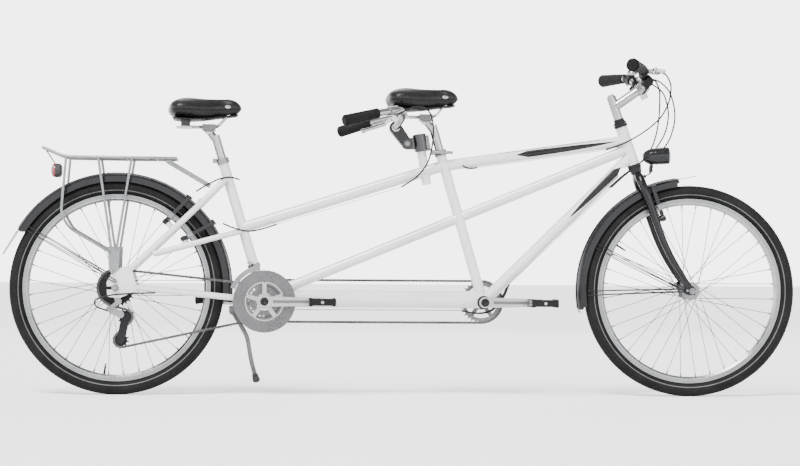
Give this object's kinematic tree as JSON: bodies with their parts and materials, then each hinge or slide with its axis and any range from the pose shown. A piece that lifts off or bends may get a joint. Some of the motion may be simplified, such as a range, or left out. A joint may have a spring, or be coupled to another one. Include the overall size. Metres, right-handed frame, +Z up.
{
  "type": "tandem bicycle",
  "caption": "Two-rider bicycle in line with a white tube frame, wire wheels, a timing chain between the cranks, rim brakes, mudguards and a rear carrier.",
  "frame": {"origin": "on the ground, under the middle of the bicycle's length and width", "axes": "+X forward, +Y to the riders' left, +Z up"},
  "size_m": [2.4403, 0.607, 1.023],
  "materials": {
    "white_paint": "gloss white enamel",
    "black_paint": "gloss black enamel",
    "polished_alloy": "polished",
    "satin_alloy": "satin",
    "steel": "bright",
    "black_steel": "satin black",
    "chain_steel": "oiled",
    "tyre": "ribbed tread",
    "grip_rubber": "moulded",
    "black_plastic": "moulded",
    "lamp_plastic": "moulded",
    "red_lens": "lens",
    "saddle_vinyl": "padded vinyl",
    "cable_jacket": "smooth"
  },
  "bodies": {
    "frame": {"main_frame": "white_paint", "rear_triangle": "white_paint", "frame_bearings": "black_steel", "frame_fittings": "satin_alloy", "rear_fender": "black_plastic", "rear_rack": "satin_alloy", "tail_light": "red_lens", "drive_chain": "chain_steel", "timing_chain": "chain_steel", "derailleur_body": "satin_alloy", "frame_cables": "cable_jacket"},
    "steering": {"fork": "black_paint", "fork_fittings": "black_steel", "quill_stem": "polished_alloy", "handlebar": "polished_alloy", "captain_grips": "grip_rubber", "captain_controls": "black_plastic", "front_fender": "black_plastic", "steering_cables": "cable_jacket"},
    "front_wheel": {"front_tyre": "tyre", "front_rim": "polished_alloy", "front_spokes": "steel"},
    "rear_wheel": {"rear_tyre": "tyre", "rear_rim": "polished_alloy", "rear_spokes": "steel"},
    "cassette": {"cassette": "black_steel"},
    "stoker_crank": {"stoker_cranks": "polished_alloy", "stoker_rings": "black_steel"},
    "captain_crank": {"captain_cranks": "polished_alloy"},
    "captain_pedal_right": {"captain_pedal_right": "black_plastic"},
    "captain_pedal_left": {"captain_pedal_left": "black_plastic"},
    "stoker_pedal_right": {"stoker_pedal_right": "black_plastic"},
    "stoker_pedal_left": {"stoker_pedal_left": "black_plastic"},
    "kickstand": {"kickstand": "satin_alloy"},
    "captain_lever_right": {"captain_lever_right": "polished_alloy"},
    "captain_lever_left": {"captain_lever_left": "polished_alloy"},
    "stoker_lever": {"stoker_lever": "polished_alloy"},
    "front_brake_left": {"front_brake_left": "satin_alloy"},
    "front_brake_right": {"front_brake_right": "satin_alloy"},
    "rear_brake_left": {"rear_brake_left": "satin_alloy"},
    "rear_brake_right": {"rear_brake_right": "satin_alloy"},
    "drag_brake_left": {"drag_brake_left": "satin_alloy"},
    "drag_brake_right": {"drag_brake_right": "satin_alloy"},
    "derailleur_cage": {"derailleur_cage": "satin_alloy"},
    "upper_pulley": {"upper_pulley": "black_plastic"},
    "lower_pulley": {"lower_pulley": "black_plastic"},
    "front_derailleur_cage": {"front_derailleur_cage": "steel"},
    "captain_seat": {"captain_saddle": "saddle_vinyl", "captain_seatpost": "polished_alloy"},
    "stoker_seat": {"stoker_saddle": "saddle_vinyl", "stoker_seatpost": "polished_alloy"},
    "stoker_bar": {"stoker_stem": "black_paint", "stoker_bar": "polished_alloy", "stoker_grips": "grip_rubber"},
    "headlight": {"headlight": "lamp_plastic"},
    "bell_striker": {"bell_striker": "black_plastic"},
    "shift_lever_right": {"shift_lever_right": "black_plastic"},
    "shift_lever_left": {"shift_lever_left": "black_plastic"},
    "front_quick_release": {"front_quick_release": "satin_alloy"},
    "seat_quick_release": {"seat_quick_release": "satin_alloy"}
  },
  "joints": [
    {"name": "steering", "type": "hinge", "parent": "frame", "child": "steering", "pos_m": [0.72, 0, 0.718], "axis": [-0.3256, 0, 0.9455], "range_deg": [-40, 40], "deforming": ["steering_cables"]},
    {"name": "front_wheel_spin", "type": "hinge", "parent": "steering", "child": "front_wheel", "pos_m": [0.894, 0, 0.3265], "axis": [0, 1, 0], "continuous": true},
    {"name": "rear_wheel_spin", "type": "hinge", "parent": "frame", "child": "rear_wheel", "pos_m": [-0.872, 0, 0.3265], "axis": [0, 1, 0], "continuous": true},
    {"name": "stoker_crank_spin", "type": "hinge", "parent": "frame", "child": "stoker_crank", "pos_m": [-0.421, 0, 0.288], "axis": [0, 1, 0], "continuous": true, "deforming": ["drive_chain", "timing_chain"]},
    {"name": "captain_crank_spin", "type": "hinge", "parent": "frame", "child": "captain_crank", "pos_m": [0.2521, 0, 0.288], "axis": [0, 1, 0], "continuous": true},
    {"name": "cassette_spin", "type": "hinge", "parent": "frame", "child": "cassette", "pos_m": [-0.872, 0, 0.3265], "axis": [0, 1, 0], "continuous": true},
    {"name": "captain_pedal_right_spin", "type": "hinge", "parent": "captain_crank", "child": "captain_pedal_right", "pos_m": [0.4271, -0.129, 0.288], "axis": [0, 1, 0], "continuous": true},
    {"name": "captain_pedal_left_spin", "type": "hinge", "parent": "captain_crank", "child": "captain_pedal_left", "pos_m": [0.0771, 0.122, 0.288], "axis": [0, 1, 0], "continuous": true},
    {"name": "stoker_pedal_right_spin", "type": "hinge", "parent": "stoker_crank", "child": "stoker_pedal_right", "pos_m": [-0.246, -0.129, 0.288], "axis": [0, 1, 0], "continuous": true},
    {"name": "stoker_pedal_left_spin", "type": "hinge", "parent": "stoker_crank", "child": "stoker_pedal_left", "pos_m": [-0.596, 0.122, 0.288], "axis": [0, 1, 0], "continuous": true},
    {"name": "kickstand_fold", "type": "hinge", "parent": "frame", "child": "kickstand", "pos_m": [-0.52, 0.044, 0.255], "axis": [-0.0693, 0.9961, 0.0542], "range_deg": [0, 92]},
    {"name": "captain_lever_right_pull", "type": "hinge", "parent": "steering", "child": "captain_lever_right", "pos_m": [0.768, -0.138, 0.995], "axis": [0, 0, -1], "range_deg": [0, 12], "stiffness_Nm_per_rad": 1.2},
    {"name": "captain_lever_left_pull", "type": "hinge", "parent": "steering", "child": "captain_lever_left", "pos_m": [0.768, 0.138, 0.995], "axis": [0, 0, 1], "range_deg": [0, 12], "stiffness_Nm_per_rad": 1.2},
    {"name": "stoker_lever_pull", "type": "hinge", "parent": "stoker_bar", "child": "stoker_lever", "pos_m": [-0.04, -0.206, 0.84], "axis": [-0.3534, 0.9355, 0], "range_deg": [0, 12], "stiffness_Nm_per_rad": 1.2, "deforming": ["frame_cables"]},
    {"name": "front_brake_left_squeeze", "type": "hinge", "parent": "steering", "child": "front_brake_left", "pos_m": [0.80608, 0.04, 0.55092], "axis": [0.9455, 0, 0.3256], "range_deg": [0, 2.1], "deforming": ["frame_cables", "steering_cables"]},
    {"name": "front_brake_right_squeeze", "type": "hinge", "parent": "steering", "child": "front_brake_right", "pos_m": [0.80608, -0.04, 0.55092], "axis": [-0.9455, 0, -0.3256], "range_deg": [0, 2.1], "deforming": ["frame_cables", "steering_cables"]},
    {"name": "rear_brake_left_squeeze", "type": "hinge", "parent": "frame", "child": "rear_brake_left", "pos_m": [-0.724, 0.04, 0.53], "axis": [0.7141, 0, -0.7001], "range_deg": [0, 2.1], "deforming": ["frame_cables", "steering_cables"]},
    {"name": "rear_brake_right_squeeze", "type": "hinge", "parent": "frame", "child": "rear_brake_right", "pos_m": [-0.724, -0.04, 0.53], "axis": [-0.7141, 0, 0.7001], "range_deg": [0, 2.1], "deforming": ["frame_cables", "steering_cables"]},
    {"name": "drag_brake_left_squeeze", "type": "hinge", "parent": "frame", "child": "drag_brake_left", "pos_m": [-0.669, 0.04, 0.478], "axis": [0.475, 0, -0.88], "range_deg": [0, 2.1], "deforming": ["frame_cables", "steering_cables"]},
    {"name": "drag_brake_right_squeeze", "type": "hinge", "parent": "frame", "child": "drag_brake_right", "pos_m": [-0.669, -0.04, 0.478], "axis": [-0.475, 0, 0.88], "range_deg": [0, 2.1], "deforming": ["frame_cables", "steering_cables"]},
    {"name": "derailleur_cage_swing", "type": "hinge", "parent": "frame", "child": "derailleur_cage", "pos_m": [-0.857, -0.042, 0.246], "axis": [0, 1, 0], "range_deg": [-20, 25], "stiffness_Nm_per_rad": 0.6, "deforming": ["drive_chain"]},
    {"name": "upper_pulley_spin", "type": "hinge", "parent": "derailleur_cage", "child": "upper_pulley", "pos_m": [-0.8434, -0.036, 0.23825], "axis": [0, 1, 0], "continuous": true},
    {"name": "lower_pulley_spin", "type": "hinge", "parent": "derailleur_cage", "child": "lower_pulley", "pos_m": [-0.85624, -0.036, 0.16784], "axis": [0, 1, 0], "continuous": true},
    {"name": "front_derailleur_shift", "type": "slide", "parent": "frame", "child": "front_derailleur_cage", "axis": [0, -1, 0], "range_m": [0, 0.014], "stiffness_N_per_m": 300, "deforming": ["drive_chain"]},
    {"name": "captain_seatpost_height", "type": "slide", "parent": "frame", "child": "captain_seat", "axis": [-0.2801, 0, 0.96], "range_m": [0, 0.06]},
    {"name": "stoker_seatpost_height", "type": "slide", "parent": "frame", "child": "stoker_seat", "axis": [-0.2922, 0, 0.9564], "range_m": [-0.05, 0.06]},
    {"name": "stoker_stem_tilt", "type": "hinge", "parent": "frame", "child": "stoker_bar", "pos_m": [0.014, 0, 0.775], "axis": [0, 1, 0], "range_deg": [-20, 15], "deforming": ["frame_cables"]},
    {"name": "headlight_tilt", "type": "hinge", "parent": "steering", "child": "headlight", "pos_m": [0.77414, 0, 0.71126], "axis": [0, 1, 0], "range_deg": [-8, 12]},
    {"name": "bell_strike", "type": "hinge", "parent": "steering", "child": "bell_striker", "pos_m": [0.701, 0.074, 1], "axis": [0, 0, 1], "range_deg": [0, 20], "stiffness_Nm_per_rad": 0.05},
    {"name": "shift_lever_right_push", "type": "hinge", "parent": "steering", "child": "shift_lever_right", "pos_m": [0.734, -0.112, 0.974], "axis": [0.7396, 0.1849, -0.6472], "range_deg": [0, 20], "stiffness_Nm_per_rad": 0.3},
    {"name": "shift_lever_left_push", "type": "hinge", "parent": "steering", "child": "shift_lever_left", "pos_m": [0.734, 0.112, 0.974], "axis": [-0.7396, 0.1849, 0.6472], "range_deg": [0, 20], "stiffness_Nm_per_rad": 0.3},
    {"name": "front_quick_release_open", "type": "hinge", "parent": "steering", "child": "front_quick_release", "pos_m": [0.894, 0.075, 0.3265], "axis": [-0.4472, 0, -0.8944], "range_deg": [0, 150]},
    {"name": "seat_quick_release_open", "type": "hinge", "parent": "frame", "child": "seat_quick_release", "pos_m": [0.094, -0.028, 0.7485], "axis": [0, 0, -1], "range_deg": [0, 150]}
  ],
  "couplings": [
    {"joint": "captain_crank_spin", "follows": "stoker_crank_spin", "ratio": 1},
    {"joint": "cassette_spin", "follows": "stoker_crank_spin", "ratio": 0.85714},
    {"joint": "front_brake_left_squeeze", "follows": "captain_lever_left_pull", "ratio": 0.175},
    {"joint": "front_brake_right_squeeze", "follows": "captain_lever_left_pull", "ratio": 0.175},
    {"joint": "rear_brake_left_squeeze", "follows": "captain_lever_right_pull", "ratio": 0.175},
    {"joint": "rear_brake_right_squeeze", "follows": "captain_lever_right_pull", "ratio": 0.175},
    {"joint": "drag_brake_left_squeeze", "follows": "stoker_lever_pull", "ratio": 0.175},
    {"joint": "drag_brake_right_squeeze", "follows": "stoker_lever_pull", "ratio": 0.175},
    {"joint": "upper_pulley_spin", "follows": "stoker_crank_spin", "ratio": -2.1818},
    {"joint": "lower_pulley_spin", "follows": "stoker_crank_spin", "ratio": 2.1818}
  ]
}
